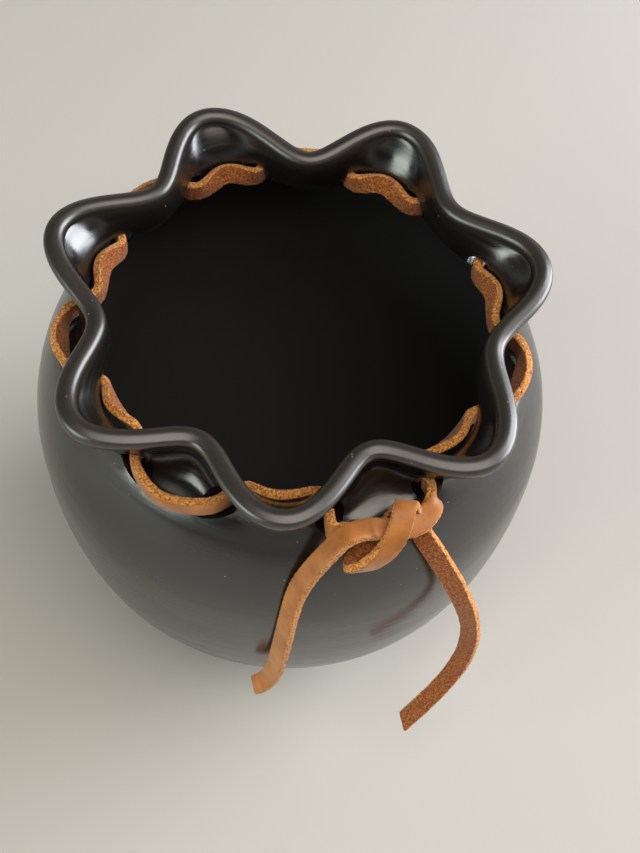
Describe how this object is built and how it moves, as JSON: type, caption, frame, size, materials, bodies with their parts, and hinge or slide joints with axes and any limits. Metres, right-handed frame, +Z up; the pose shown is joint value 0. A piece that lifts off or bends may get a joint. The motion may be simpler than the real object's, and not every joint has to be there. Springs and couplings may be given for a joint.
{
  "type": "laced clay pot",
  "caption": "Round black clay pot with a pinched, fluted rim and a flat leather lace threaded through holes under the lip and knotted in front.",
  "frame": {"origin": "middle of the flat foot, on the surface the pot stands on", "axes": "+Z up the pot's axis, -Y towards the knotted valley of the rim (the front), +X to the right seen from the front"},
  "size_m": [0.132, 0.146, 0.1226],
  "materials": {
    "clay": "burnished, semi-gloss black, unglazed",
    "leather": "flat tan lace: smooth grain side, rough flesh side, pale fibrous cut edges"
  },
  "bodies": {
    "root": {"clay_pot": "clay", "lace_band": "leather", "lace_knot": "leather", "lace_tail_left": "leather", "lace_tail_right": "leather"}
  },
  "joints": []
}
